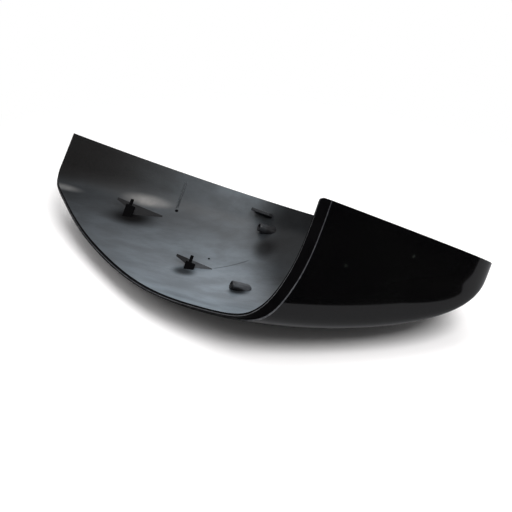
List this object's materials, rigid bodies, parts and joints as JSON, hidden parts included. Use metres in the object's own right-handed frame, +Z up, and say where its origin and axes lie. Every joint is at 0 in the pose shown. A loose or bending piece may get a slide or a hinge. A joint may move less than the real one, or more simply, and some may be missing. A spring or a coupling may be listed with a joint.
{
  "type": "wing mirror cover",
  "caption": "Right-hand wing mirror cover: a thin curved shell with an open back, a cut-out for the mirror arm, a recessed lip, and moulded snap clips and hollow posts inside.",
  "frame": {"origin": "middle of the outline on the surface that the cover lies on, under its rounded front", "axes": "+X runs from the inboard end towards the outboard tip, +Y from the near lower wall towards the far upper wall, +Z up, away from the surface it lies on"},
  "size_m": [0.2334, 0.171, 0.0816],
  "materials": {
    "shell": "gloss"
  },
  "bodies": {
    "root": {"mirror_cover": "shell"}
  },
  "joints": []
}
